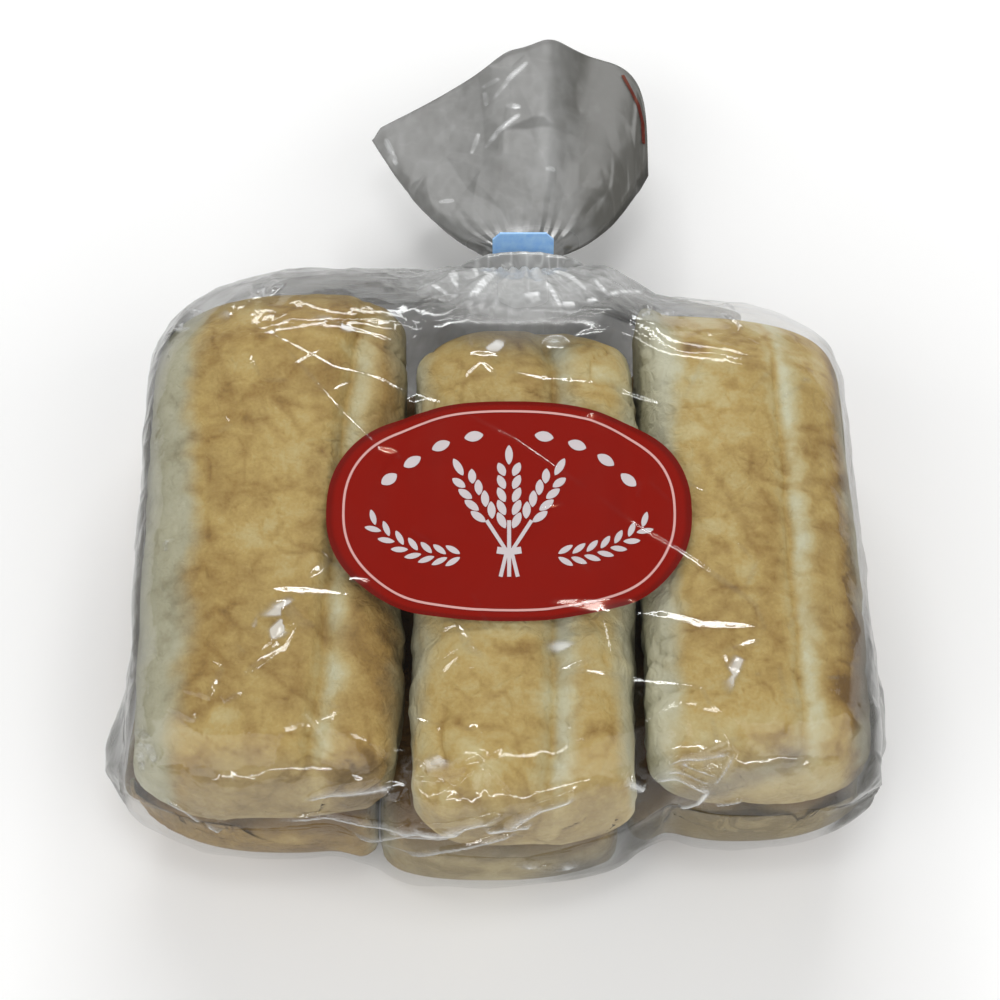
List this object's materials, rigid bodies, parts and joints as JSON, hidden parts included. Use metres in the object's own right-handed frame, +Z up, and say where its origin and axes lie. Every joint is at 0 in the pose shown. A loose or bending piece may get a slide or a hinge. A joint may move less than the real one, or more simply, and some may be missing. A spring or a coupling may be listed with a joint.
{
  "type": "bag of french bread rolls",
  "caption": "Clear film bag of long french bread rolls in two layers, gathered at the neck by a flat bag clip, with a round printed badge.",
  "frame": {"origin": "on the floor, under the middle of the bag's body, on the flat strip below the middle lower roll", "axes": "+Y along the rolls towards the bag's neck and fan, +Z up from the floor through the two layers, +X to the right across the rolls"},
  "size_m": [0.2661, 0.3302, 0.104],
  "materials": {
    "film": "clear low-density polyethylene film drawn over pale rolls",
    "crust": "lightly baked bread crust, dull and wrinkled, paler on the flanks",
    "print": "deep red ink with cream lines, printed on the film",
    "clip_plastic": "punched polystyrene sheet, light blue"
  },
  "bodies": {
    "root": {"bag": "film", "clip": "clip_plastic"}
  },
  "joints": []
}
